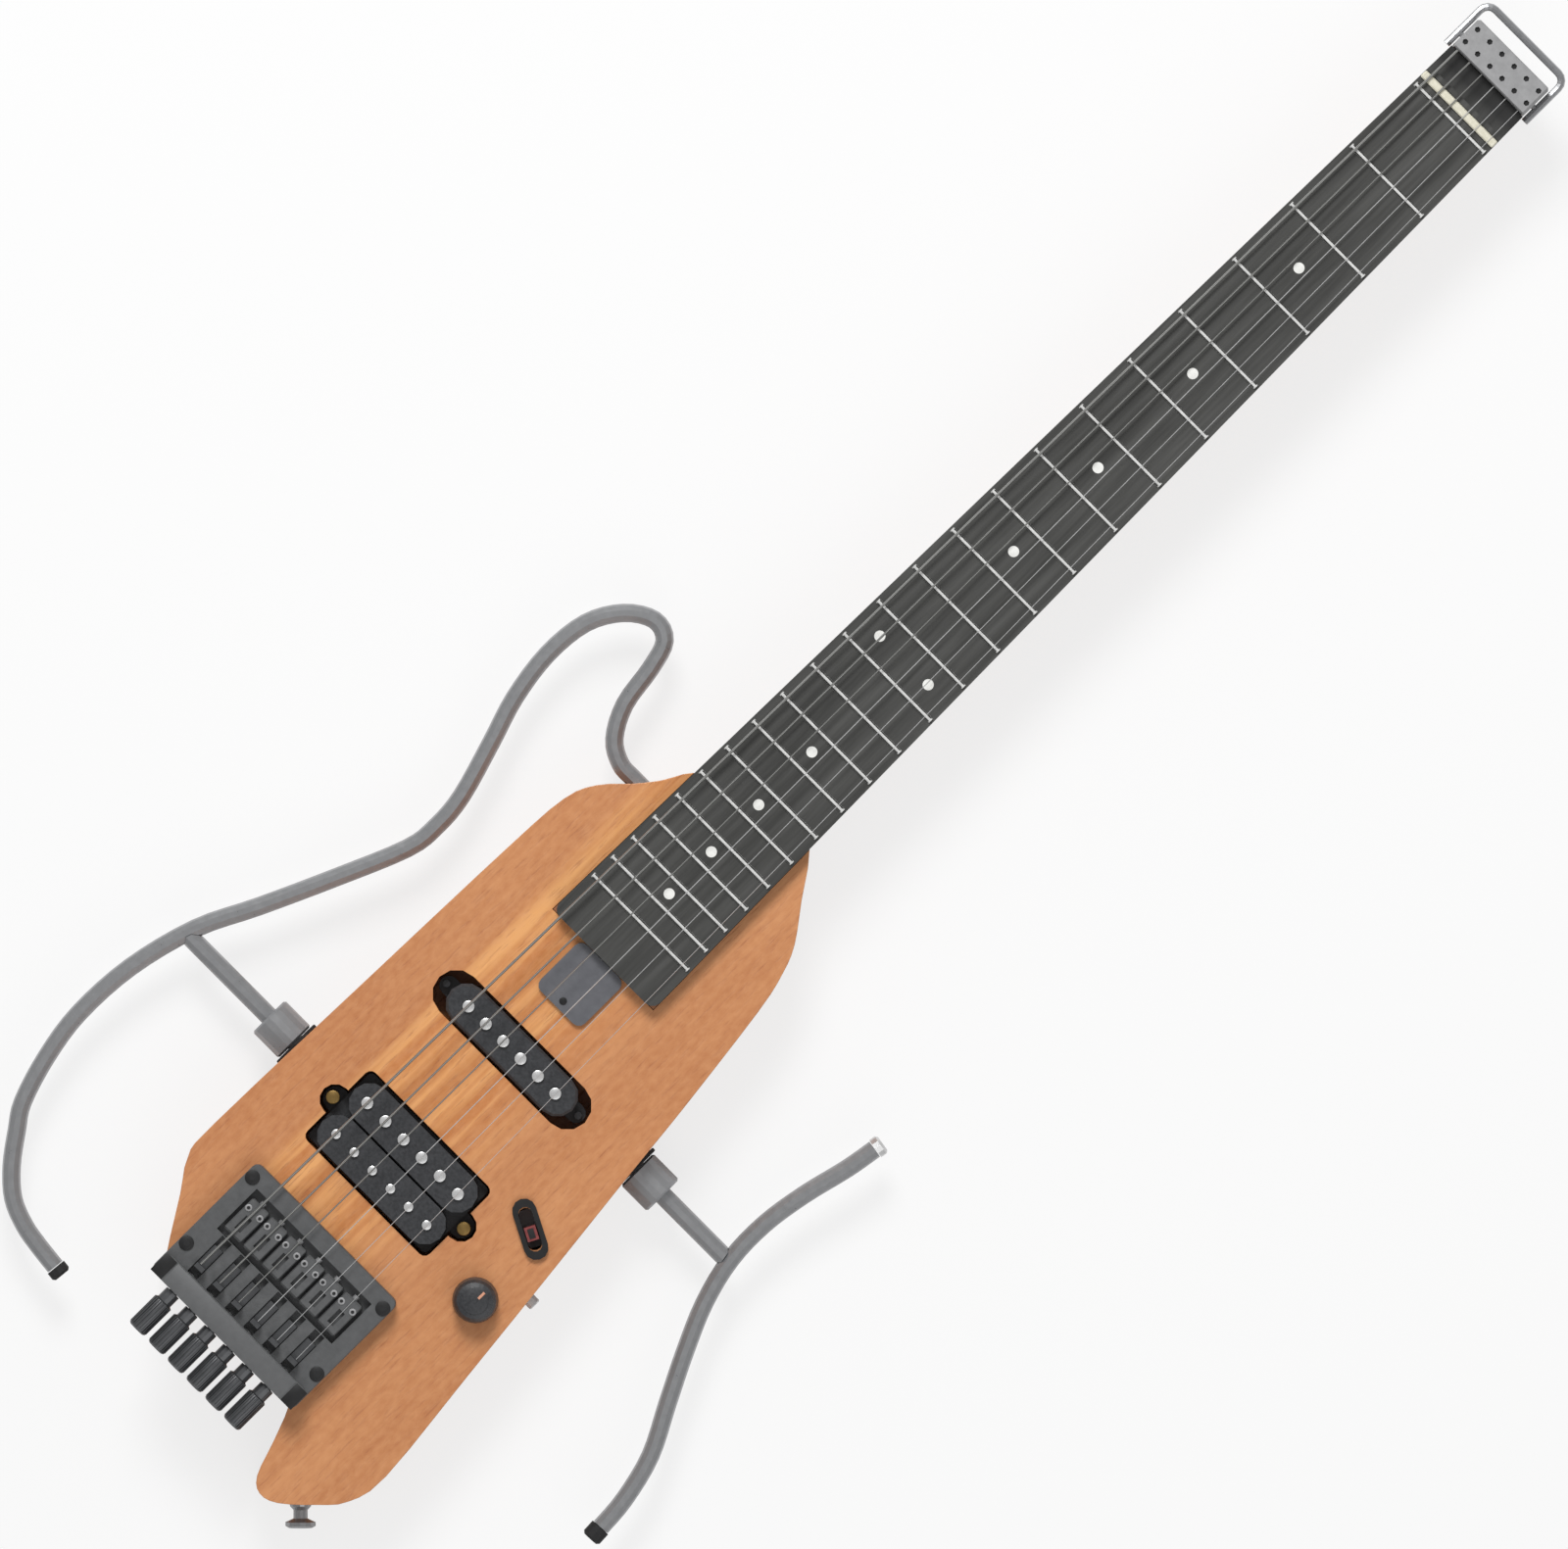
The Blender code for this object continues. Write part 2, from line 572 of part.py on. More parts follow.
def saddle_and_tuner(index, floor, axis_height):
    """One string's saddle, its string puller in the channel, and its knob behind the beam."""
    number = STRINGS - index
    x = saddle_x(index)
    tail = CHANNEL_HEAD + SADDLE_SHORT
    top = string_low(tail) - GAP
    saddle = plate(f"saddle_{number}", box_outline(x - SADDLE_WIDE / 2, x + SADDLE_WIDE / 2, tail, tail + SADDLE_LONG),
                   floor + GAP, top, "black", 0.7 * MM, 1)
    cut(saddle, slab(x - 1.6 * MM, x + 1.6 * MM, tail + 3 * MM, tail + 10 * MM, top - 3 * MM, top + MM))
    half = CHANNEL_WIDE / 2 - 0.4 * MM
    puller = plate(f"string_puller_{number}", box_outline(x - half, x + half, PULLER_FACE - 2.2 * MM,
                                                          PULLER_FACE + PULLER_LONG - 2.2 * MM),
                   floor + GAP, floor + PULLER_HIGH, "gun")
    join(puller, slab(x - half + 0.1 * MM, x + half - 0.1 * MM, PULLER_FACE - 2.1 * MM, PULLER_FACE,
                      floor + MM, string_low(0) + 2 * MM))
    knob_x = (index - (STRINGS - 1) / 2) * KNOB_PITCH
    r = KNOB_RADIUS
    profile = [(2 * MM, 0), (2 * MM, 8.5 * MM), (r - 0.8 * MM, 8.5 * MM), (r - 0.8 * MM, 8.5 * MM + KNOB_NECK),
               (r, 9 * MM + KNOB_NECK), (r, 8 * MM + KNOB_NECK + KNOB_LONG),
               (r - 0.7 * MM, 8.5 * MM + KNOB_NECK + KNOB_LONG)]
    turned(f"tuner_knob_{number}", profile, "gun", (knob_x, BRIDGE_TAIL + 8.2 * MM, axis_height), (0, -1, 0), 12)


def pickups():
    top = BODY_THICK + PICKUP_PROUD
    humbucker = plate("bridge_pickup", rounded(-34.4 * MM, 34.4 * MM, 23.2 * MM, 60.4 * MM, 2 * MM), 24 * MM, 31 * MM,
                      "plastic")
    bobbins = [plate_mesh(slot_outline(0, HUMBUCKER_AT + dy, 34 * MM, 8.7 * MM), 29 * MM, top)
               for dy in (-9.2 * MM, 9.2 * MM)]
    poles, feet = [], []
    for dy, radius in ((-9.2 * MM, 2 * MM), (8.8 * MM, 2.4 * MM)):
        for index in range(STRINGS):
            x = (index - 2.5) * 10.5 * MM
            y = HUMBUCKER_AT + dy
            poles.append(tube_mesh([(x, y, top - MM), (x, y, top + 0.8 * MM)], radius, 2))
    for side in (-1, 1):
        x = side * 38 * MM
        feet.append(tube_mesh([(x, 42 * MM, CAVITY_FLOOR - 0.5 * MM + GAP), (x, 42 * MM, 36 * MM)], 1.6 * MM, 2))
    join(humbucker, merged("bobbins", bobbins), merged("poles", poles),
         plate("tabs", slot_outline(0, 42 * MM, 42 * MM, 5.2 * MM), 25 * MM, 27 * MM, None), merged("feet", feet))
    single = plate("neck_pickup", slot_outline(0, NECK_PICKUP_AT, 35 * MM, 8.7 * MM), 26 * MM, top, "plastic", MM, 1)
    poles, feet = [], []
    for index in range(STRINGS):
        x = (index - 2.5) * 10.06 * MM
        poles.append(tube_mesh([(x, NECK_PICKUP_AT, top - MM), (x, NECK_PICKUP_AT, top + 0.8 * MM)], 2.4 * MM, 2))
    for side in (-1, 1):
        x = side * 38.2 * MM
        feet.append(tube_mesh([(x, NECK_PICKUP_AT, CAVITY_FLOOR + GAP), (x, NECK_PICKUP_AT, 34 * MM)], 1.6 * MM, 2))
    join(single, merged("poles", poles),
         plate("tabs", slot_outline(0, NECK_PICKUP_AT, 41 * MM, 4 * MM), 27 * MM, 29 * MM, None), merged("feet", feet))


def controls():
    x, y = KNOB_AT
    turned("potentiometer", [(8 * MM, 8 * MM), (8 * MM, 18 * MM), (3.5 * MM, 18 * MM), (3.5 * MM, 39 * MM),
                             (3 * MM, 39 * MM), (3 * MM, 49 * MM)], "grey", (x, y, 0), (0, 0, 1))
    knob = turned("volume_knob", [(9.3 * MM, 0), (9.5 * MM, 2 * MM), (8.7 * MM, 9 * MM), (7.5 * MM, 11 * MM),
                                  (5.5 * MM, 11.6 * MM)], "plastic", (x, y, BODY_THICK + 0.6 * MM), (0, 0, 1), 24)
    cut(knob, rod((x, y, BODY_THICK - MM), (x, y, 49.5 * MM), 3.35 * MM))
    turn = SWITCH_TURN
    bezel = plate("switch_bezel", slot_outline(*SWITCH_AT, 13 * MM, 5 * MM, turn), BODY_THICK + GAP,
                  BODY_THICK + 2 * MM, "black")
    cut(bezel, plate("cutter", slot_outline(*SWITCH_AT, 9.5 * MM, 2.9 * MM, turn), 30 * MM, 50 * MM, None))
    along = Vector((math.cos(turn), math.sin(turn)))
    across = Vector((-along.y, along.x))

    def turned_box(centre, half_long, half_wide):
        return [tuple(centre + along * a * half_long + across * b * half_wide)
                for a, b in ((-1, -1), (1, -1), (1, 1), (-1, 1))]

    plate("switch_thumb", turned_box(SWITCH_AT + along * 1.8 * MM, 3 * MM, 2.4 * MM), 30 * MM, 43.6 * MM, "red")
    plate("switch_body", turned_box(SWITCH_AT, 8 * MM, 3.5 * MM), 8 * MM, 25.7 * MM, "grey")
    plate("amplifier_board", box_outline(43 * MM, 66 * MM, 14 * MM, 68 * MM), 6.1 * MM, 7.7 * MM, "green")
    plate("control_cover", rounded(38.3 * MM, 70.7 * MM, 6.3 * MM, 75.7 * MM, 5.7 * MM), 0.2 * MM, COVER_THICK,
          "plastic")
    jack = turned("phones_jack", [(2.7 * MM, 0), (2.7 * MM, 12 * MM), (2.2 * MM, 12.5 * MM)], "steel",
                  (68.5 * MM, JACK_AT, TUBE_HEIGHT), (1, 0, 0), 12)
    cut(jack, rod((70 * MM, JACK_AT, TUBE_HEIGHT), (90 * MM, JACK_AT, TUBE_HEIGHT), 1.75 * MM, 2))
    turned("strap_button", [(2 * MM, -15 * MM), (2 * MM, GAP), (4.5 * MM, GAP), (4.3 * MM, 1.5 * MM), (2.9 * MM, 3 * MM),
                            (2.9 * MM, 6.5 * MM), (6.2 * MM, 8 * MM), (6.2 * MM, 9.6 * MM), (4.8 * MM, 10.4 * MM)],
           "gun", BUTTON_SEAT, BUTTON_AXIS)


def tube_frame(side, route, rod_at, seat, name):
    """A bent tube with the rod that is welded to it, and the gasket and the lock collar that the rod passes through."""
    height = (TUBE_HEIGHT,)
    points = [(*p, *height) for p in smooth_route(mm_points(route), 4)]
    add(f"{name}_frame", tube_mesh(points, TUBE_RADIUS), "gun")
    tube_x = min(points, key=lambda p: abs(p[1] - rod_at) + (1 if side * p[0] < 100 * MM else 0))[0]
    ends = [(tube_x, rod_at, *height), (seat - side * (SOCKET_DEEP - 2 * MM), rod_at, *height)]
    arm = add(f"{name}_rod", tube_mesh(ends, ROD_RADIUS, 3), "gun")
    order = sorted(points, key=lambda p: math.dist(p, ends[0]))
    along = (Vector(order[1]) - Vector(order[0])).normalized()
    inward = Vector((-along.y, along.x, 0))
    if inward.x * side > 0:
        inward = -inward
    middle = Vector(ends[0]) + inward * (TUBE_RADIUS - 1.4 * MM)
    corners = [middle + along * 20 * MM, middle - along * 20 * MM]
    corners += [corner - inward * 30 * MM for corner in reversed(corners)]
    outside = plate("outside", [corner.xy for corner in corners], TUBE_HEIGHT - 9 * MM, TUBE_HEIGHT + 9 * MM, None)
    cut(arm, outside, add("tube", tube_mesh(points, TUBE_RADIUS + GAP), None))
    bore = ROD_RADIUS + 0.35 * MM
    for piece, start, long, radius, finish in (
        ("gasket", GAP, GASKET, COLLAR_RADIUS + 1.6 * MM, "rubber"),
        ("lock_collar", 2 * GAP + GASKET, 15 * MM, COLLAR_RADIUS, "gun"),
    ):
        edge = 0.8 * MM if piece == "lock_collar" else 0.3 * MM
        ring = turned(f"{name}_{piece}", [(radius - edge, start), (radius, start + edge), (radius, start + long - edge),
                                          (radius - edge, start + long)], finish, (seat, rod_at, *height),
                      (side, 0, 0), 20)
        cut(ring, rod((seat - side * MM, rod_at, *height), (seat + side * 30 * MM, rod_at, *height), bore))


def end_cap(name, route, last, long, finish):
    """A cap over the first or the last end of a tube's route."""
    points = smooth_route(mm_points(route), 3)
    end, before = (points[-1], points[-2]) if last else (points[0], points[1])
    along = (end - before).normalized()
    r = TUBE_RADIUS + 0.5 * MM
    turned(name, [(r, GAP), (r, long - MM), (r - MM, long)], finish, (*end, TUBE_HEIGHT), (*along, 0), 12)


clear_scene()
PARTS = collection("silent_guitar")
CUTTERS = collection("cutters", hidden=True)
FINISH = finishes()
body()
neck()
fretboard()
head()
strings()
bridge()
pickups()
controls()
tube_frame(-1, BASS_ROUTE, BASS_ROD_AT, BASS_SEAT, "bass")
tube_frame(1, TREBLE_ROUTE, TREBLE_ROD_AT, TREBLE_SEAT, "treble")
end_cap("bass_end_cap", BASS_ROUTE, False, 4.5 * MM, "rubber")
end_cap("treble_low_cap", TREBLE_ROUTE, False, 6.5 * MM, "rubber")
end_cap("treble_high_cap", TREBLE_ROUTE, True, 4 * MM, "steel")
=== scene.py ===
"""The finish of a headless silent guitar: its woods, metals, frets, inlays, knurls and screws."""

import math

import bmesh
import bpy
from mathutils import Matrix, Vector
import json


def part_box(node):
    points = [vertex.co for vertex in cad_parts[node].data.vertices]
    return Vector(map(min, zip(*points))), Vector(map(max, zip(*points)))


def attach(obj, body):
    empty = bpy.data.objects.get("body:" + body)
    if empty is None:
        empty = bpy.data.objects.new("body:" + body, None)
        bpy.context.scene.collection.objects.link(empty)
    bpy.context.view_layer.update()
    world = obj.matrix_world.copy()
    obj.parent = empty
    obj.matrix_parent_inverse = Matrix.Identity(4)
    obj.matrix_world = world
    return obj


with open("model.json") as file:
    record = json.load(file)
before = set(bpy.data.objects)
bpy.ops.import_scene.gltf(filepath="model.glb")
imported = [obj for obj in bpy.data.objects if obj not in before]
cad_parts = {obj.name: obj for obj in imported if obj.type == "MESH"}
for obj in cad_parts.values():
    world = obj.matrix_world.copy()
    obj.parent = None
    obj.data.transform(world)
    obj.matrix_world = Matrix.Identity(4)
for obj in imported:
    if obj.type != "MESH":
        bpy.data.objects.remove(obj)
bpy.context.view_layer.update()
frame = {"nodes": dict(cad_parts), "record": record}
NODES = frame["nodes"]

MM = 0.001
SCALE = 648 * MM
STRINGS = 6
PHOTO_WIDE = 641.3 * MM
VIEW_CENTRE = Vector((-1.5 * MM, 266 * MM))
NECK_ROLL = math.radians(45.18)
CAMERA_AWAY = 6.0
SENSOR = 36.0

# The fretboard: its half widths at the nut and where it ends over the body.
NUT_HALF = 21 * MM
END_HALF = 29 * MM
BOARD_END = 160 * MM
FRETS = 22
FRET_HALF = 1.1 * MM
FRET_TALL = 1.15 * MM
FRET_FULLER = 1.06
FRET_SHORTER = 2.1 * MM
DOT_FRETS = (3, 5, 7, 9, 15, 17, 19, 21)
OCTAVE_FRET = 12
OCTAVE_DOT_X = 14 * MM
POCKET_FROM, POCKET_TO = 656.5 * MM, 663.5 * MM

# The body's wood: where the middle strip fades in and out across it, and where the painted shade starts just under the
# face, darkening its rounded edge and the sides below.
STRIP_BASS = (-36 * MM, -28 * MM)
STRIP_TREBLE = (14 * MM, 40 * MM)
EDGE_SHADE_FROM, EDGE_SHADE_TO = 37.9 * MM, 39.7 * MM

# The pickups: rows of poles, each with its place along the guitar and its share of the full size.
HUMBUCKER_ROWS = ((32.5 * MM, 0.8), (50.5 * MM, 1.0))
HUMBUCKER_PITCH = 10.5 * MM
SINGLE_COIL_Y = 107.7 * MM
SINGLE_COIL_PITCH = 10.06 * MM
HEIGHT_SCREW_X, HEIGHT_SCREW_Y, HEIGHT_SCREW_Z = 38 * MM, 42 * MM, 36 * MM

# The bridge: its rail's top, its corner screws, and the beam that the tuner knobs press on.
RAIL_TOP = 48.3 * MM
CORNER_X = 37.8 * MM
CORNER_ROWS = (-42 * MM, -4 * MM)
BEAM_Y = -54.9 * MM
BEAM_END_X = 37.6 * MM
KNURL_RADIUS = 4.15 * MM
KNURL_RIDGES = 24

# The controls, the head and the back.
SWITCH_TURN = math.radians(-27)
CLAMP_PITCH = 7.06 * MM
CLAMP_ROWS = (4.2 * MM, 11.2 * MM)
COVER_SCREWS_X = (43 * MM, 66 * MM)
COVER_SCREWS_Y = (11 * MM, 71 * MM)
PLATE_SCREW = (0.6 * MM, 136.6 * MM)

# The studio.
AIM = Vector((0, 0.25, 0))
FLOOR_TONE = 0.86
FLOOR_GLOW = 0.75
SKY = 0.38


class Value:
    """A shader socket that takes part in ordinary sums."""

    def __init__(self, maker, socket):
        self.maker, self.socket = maker, socket

    def _math(self, operation, *others):
        return self.maker.node("ShaderNodeMath", {"operation": operation}, [self, *others])

    def __add__(self, other):
        return self._math("ADD", other)

    def __sub__(self, other):
        return self._math("SUBTRACT", other)

    def __mul__(self, other):
        return self._math("MULTIPLY", other)

    def __rsub__(self, other):
        return self.maker.node("ShaderNodeMath", {"operation": "SUBTRACT"}, [other, self])

    __radd__, __rmul__ = __add__, __mul__


class Finish:
    """Builds one material's nodes."""

    def __init__(self, name):
        self.material = bpy.data.materials.new(name)
        self.material.use_nodes = True
        self.tree = self.material.node_tree
        self.shader = self.tree.nodes["Principled BSDF"]
        coordinates = self.tree.nodes.new("ShaderNodeTexCoord")
        self.place = Value(self, coordinates.outputs["Object"])

    def node(self, kind, settings, sockets, output=0):
        made = self.tree.nodes.new(kind)
        for key, value in settings.items():
            setattr(made, key, value)
        named = sockets.items() if isinstance(sockets, dict) else enumerate(sockets)
        for key, value in named:
            if isinstance(value, Value):
                self.tree.links.new(value.socket, made.inputs[key])
            else:
                made.inputs[key].default_value = value
        return Value(self, made.outputs[output])

    def axis(self, name):
        return self.node("ShaderNodeSeparateXYZ", {}, [self.place], name)

    def noise(self, scale, stretch=(1, 1, 1), detail=4.0, rough=0.6):
        spot = self.node("ShaderNodeVectorMath", {"operation": "MULTIPLY"}, [self.place, stretch])
        return self.node("ShaderNodeTexNoise", {}, {"Vector": spot, "Scale": scale, "Detail": detail,
                                                     "Roughness": rough}, "Fac")

    def band(self, value, low, high):
        """Zero below low, one above high."""
        return self.node("ShaderNodeMapRange", {}, {"Value": value, "From Min": low, "From Max": high}, "Result")

    def mix(self, amount, one, two):
        made = self.tree.nodes.new("ShaderNodeMix")
        made.data_type = "RGBA"
        for index, value in ((0, amount), (6, one), (7, two)):
            if isinstance(value, Value):
                self.tree.links.new(value.socket, made.inputs[index])
            elif index == 0:
                made.inputs[index].default_value = value
            else:
                made.inputs[index].default_value = (*value, 1.0)
        return Value(self, made.outputs[2])

    def feed(self, socket, value):
        if isinstance(value, Value):
            self.tree.links.new(value.socket, self.shader.inputs[socket])
        else:
            self.shader.inputs[socket].default_value = value

    def bump(self, height, strength, distance):
        normal = self.node("ShaderNodeBump", {}, {"Height": height, "Strength": strength, "Distance": distance})
        self.feed("Normal", normal)


def srgb(red, green, blue):
    """Linear values of a colour read off a picture, 0 to 255."""
    return tuple(((c / 255 + 0.055) / 1.055) ** 2.4 if c > 10 else c / 3294.6 for c in (red, green, blue))


def mahogany():
    """Open-pored satin wood with a warmer, streaked strip down the middle under the strings."""
    f = Finish("mahogany")
    x = f.axis("X")
    figure = f.band(f.noise(16, (1, 0.16, 1), 5), 0.32, 0.7)
    base = f.mix(figure, srgb(190, 122, 74), srgb(226, 160, 108))
    fibre = f.band(f.noise(330, (1, 0.025, 1), 3), 0.38, 0.66)
    base = f.mix(fibre * 0.45, base, srgb(184, 115, 70))
    wander = f.noise(9, (1, 0.3, 1), 2)
    bass_side = f.band(x + wander * 0.012, *STRIP_BASS)
    middle = bass_side * (1.0 - f.band(x + wander * 0.02, *STRIP_TREBLE))
    streak = f.band(f.noise(150, (1, 0.03, 1), 3), 0.42, 0.62)
    strip = f.mix(streak, srgb(202, 126, 66), srgb(246, 180, 112))
    colour = f.mix(middle * 0.85, base, strip)
    pores = f.band(f.noise(900, (1, 0.09, 1), 2), 0.56, 0.72)
    colour = f.mix(pores * 0.5, colour, srgb(162, 94, 54))
    mottle = f.band(f.noise(420, (1, 0.5, 1), 4), 0.35, 0.7)
    colour = f.mix(mottle * 0.28, colour, srgb(238, 176, 124))
    # Painted shade: the rounded edge and all the wood below the face are mixed towards dark brown.
    edge = f.band(f.axis("Z"), EDGE_SHADE_FROM, EDGE_SHADE_TO)
    colour = f.mix((1.0 - edge) * 0.6, colour, srgb(140, 76, 42))
    f.feed("Base Color", colour)
    f.feed("Roughness", pores * 0.2 + 0.42)
    f.bump(1.0 - pores, 0.35, 0.0002)
    return f.material


def neck_wood():
    """Darker brown wood with long pores."""
    f = Finish("neck_wood")
    figure = f.band(f.noise(60, (1, 0.06, 1), 5), 0.3, 0.7)
    colour = f.mix(figure, srgb(150, 92, 58), srgb(186, 124, 84))
    pores = f.band(f.noise(900, (1, 0.08, 1), 2), 0.56, 0.72)
    f.feed("Base Color", f.mix(pores * 0.4, colour, srgb(104, 60, 38)))
    f.feed("Roughness", pores * 0.2 + 0.4)
    f.bump(1.0 - pores, 0.3, 0.0002)
    return f.material


def dark_board():
    """Nearly black fingerboard with fine lengthwise grain, and the deep shade of the string pocket."""
    f = Finish("dark_board")
    grain = f.band(f.noise(240, (1, 0.05, 1), 5), 0.35, 0.7)
    colour = f.mix(grain, srgb(50, 50, 48), srgb(76, 76, 74))
    pocket = f.band(f.axis("Y"), POCKET_FROM, POCKET_TO)
    f.feed("Base Color", f.mix(pocket * 0.9, colour, srgb(8, 8, 8)))
    f.feed("Roughness", grain * 0.12 + 0.44)
    f.bump(grain, 0.2, 0.0001)
    return f.material


def metal(name, low, high, roughness, metallic=0.85, scale=300):
    """Cast or plated metal with a faint uneven tone."""
    f = Finish(name)
    tone = f.band(f.noise(scale, (1, 1, 1), 4), 0.2, 0.8)
    f.feed("Base Color", f.mix(tone, srgb(*low), srgb(*high)))
    f.feed("Metallic", metallic)
    f.feed("Roughness", tone * 0.08 + roughness)
    f.bump(tone, 0.04, 0.00005)
    return f.material


def plastic(name, low, high, roughness, scale=800):
    """Moulded plastic or rubber with a fine grain."""
    f = Finish(name)
    grain = f.band(f.noise(scale, (1, 1, 1), 3), 0.35, 0.65)
    f.feed("Base Color", f.mix(grain, srgb(*low), srgb(*high)))
    f.feed("Roughness", grain * 0.1 + roughness)
    f.bump(grain, 0.12, 0.0001)
    return f.material


def wound(name, turns):
    """A string: its windings show as bumps along it."""
    f = Finish(name)
    wave = f.node("ShaderNodeMath", {"operation": "SINE"}, [f.axis("Y") * (2 * math.pi * turns)])
    f.feed("Base Color", f.mix(f.band(wave, -1, 1), srgb(120, 120, 118), srgb(185, 185, 182)))
    f.feed("Metallic", 0.8)
    f.feed("Roughness", 0.35)
    f.bump(wave, 0.3, 0.0001)
    return f.material


FINISH = {
    "mahogany": mahogany(),
    "neck_wood": neck_wood(),
    "dark_board": dark_board(),
    "ivory_plastic": plastic("ivory_plastic", (214, 210, 190), (228, 224, 206), 0.4),
    "grey_metal": metal("grey_metal", (146, 146, 147), (166, 166, 167), 0.45, 0.35),
    "cover_metal": metal("cover_metal", (98, 99, 104), (112, 113, 118), 0.45, 0.3),
    "gunmetal": metal("gunmetal", (160, 161, 163), (170, 171, 173), 0.26, 0.7),
    "black_metal": metal("black_metal", (90, 91, 92), (106, 107, 108), 0.42, 0.4),
    "beam_shade": metal("beam_shade", (96, 97, 98), (106, 107, 108), 0.5, 0.2),
    "knob_black": metal("knob_black", (84, 85, 87), (98, 99, 101), 0.32, 0.7),
    "jet": metal("jet", (22, 22, 23), (32, 32, 33), 0.45, 0.2),
    "black_plastic": plastic("black_plastic", (44, 45, 48), (58, 59, 62), 0.38),
    "steel": metal("steel", (205, 205, 205), (228, 228, 228), 0.25, 0.6),
    "fret_steel": metal("fret_steel", (214, 214, 212), (238, 238, 236), 0.3, 0.25),
    "brass": metal("brass", (120, 96, 52), (150, 122, 70), 0.35, 0.7),
    "pearl": plastic("pearl", (232, 232, 228), (248, 248, 244), 0.25, 260),
    "rubber": plastic("rubber", (24, 24, 25), (36, 36, 37), 0.7),
    "red_plastic": plastic("red_plastic", (120, 52, 52), (142, 66, 64), 0.4),
    "pointer": plastic("pointer", (214, 150, 120), (228, 168, 138), 0.4),
    "circuit_board": plastic("circuit_board", (20, 84, 48), (28, 104, 60), 0.5),
    "wound": wound("wound", 1600),
}


SPECIAL_FINISH = {"neck_end_cover": "cover_metal", "tuner_knob": "knob_black", "string_puller": "knob_black",
                  "switch_bezel": "jet"}


def dress_cad():
    """Gives each CAD piece its finish: the record's slot, or a darker or wound one of its own."""
    for row in frame["record"]["subparts"]:
        name, finish = row["node"], row["material_slot"]
        if name.startswith("string_") and name[-1] in "456" and "puller" not in name:
            finish = "wound"
        for start, other in SPECIAL_FINISH.items():
            if name.startswith(start):
                finish = other
        materials = NODES[name].data.materials
        materials.clear()
        materials.append(FINISH[finish])


def keep(name, mesh, finish, body="guitar"):
    """A finished piece whose place is in its mesh."""
    piece = bpy.data.objects.new(name, mesh)
    bpy.context.scene.collection.objects.link(piece)
    mesh.materials.clear()
    mesh.materials.append(FINISH[finish])
    mesh.shade_smooth()
    mesh.set_sharp_from_angle(angle=math.radians(35))
    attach(piece, body)
    return piece


def repeat_tree():
    """Copies of one shape on the points of a mesh, turned and sized by the points' attributes."""
    tree = bpy.data.node_groups.new("repeat", "GeometryNodeTree")
    tree.interface.new_socket("Geometry", in_out="INPUT", socket_type="NodeSocketGeometry")
    shape = tree.interface.new_socket("Shape", in_out="INPUT", socket_type="NodeSocketObject")
    finish = tree.interface.new_socket("Finish", in_out="INPUT", socket_type="NodeSocketMaterial")
    tree.interface.new_socket("Geometry", in_out="OUTPUT", socket_type="NodeSocketGeometry")
    kinds = {"start": "NodeGroupInput", "end": "NodeGroupOutput", "shape": "GeometryNodeObjectInfo",
             "copies": "GeometryNodeInstanceOnPoints", "size": "GeometryNodeInputNamedAttribute",
             "turn": "GeometryNodeInputNamedAttribute", "real": "GeometryNodeRealizeInstances",
             "points": "GeometryNodeMeshToPoints", "finish": "GeometryNodeSetMaterial"}
    n = {key: tree.nodes.new(kind) for key, kind in kinds.items()}
    for key in ("size", "turn"):
        n[key].data_type = "FLOAT_VECTOR"
        n[key].inputs["Name"].default_value = key
    for out, into in (
        (n["start"].outputs["Geometry"], n["points"].inputs["Mesh"]),
        (n["points"].outputs["Points"], n["copies"].inputs["Points"]),
        (n["start"].outputs["Shape"], n["shape"].inputs["Object"]),
        (n["shape"].outputs["Geometry"], n["copies"].inputs["Instance"]),
        (n["size"].outputs["Attribute"], n["copies"].inputs["Scale"]),
        (n["turn"].outputs["Attribute"], n["copies"].inputs["Rotation"]),
        (n["copies"].outputs["Instances"], n["real"].inputs["Geometry"]),
        (n["real"].outputs["Geometry"], n["finish"].inputs["Geometry"]),
        (n["start"].outputs["Finish"], n["finish"].inputs["Material"]),
        (n["finish"].outputs["Geometry"], n["end"].inputs["Geometry"]),
    ):
        tree.links.new(out, into)
    return tree, shape.identifier, finish.identifier


REPEAT, SHAPE_INPUT, FINISH_INPUT = repeat_tree()


def repeated(name, shape, places, finish, body="guitar"):
    """Puts a copy of the shape's mesh at each of the places, which are (position, turn, size)."""
    points = bpy.data.meshes.new(name)
    points.from_pydata([place for place, _, _ in places], [], [])
    for key, column in (("turn", 1), ("size", 2)):
        layer = points.attributes.new(key, "FLOAT_VECTOR", "POINT")
        layer.data.foreach_set("vector", [value for row in places for value in row[column]])
    carrier = bpy.data.objects.new(name + "_points", points)
    pattern = bpy.data.objects.new(name + "_shape", shape)
    for made in (carrier, pattern):
        bpy.context.scene.collection.objects.link(made)
    modifier = carrier.modifiers.new("repeat", "NODES")
    modifier.node_group = REPEAT
    modifier[SHAPE_INPUT] = pattern
    modifier[FINISH_INPUT] = FINISH[finish]
    graph = bpy.context.evaluated_depsgraph_get()
    mesh = bpy.data.meshes.new_from_object(carrier.evaluated_get(graph))
    carrier.modifiers.clear()
    bpy.data.objects.remove(carrier)
    bpy.data.objects.remove(pattern)
    return keep(name, mesh, finish, body)


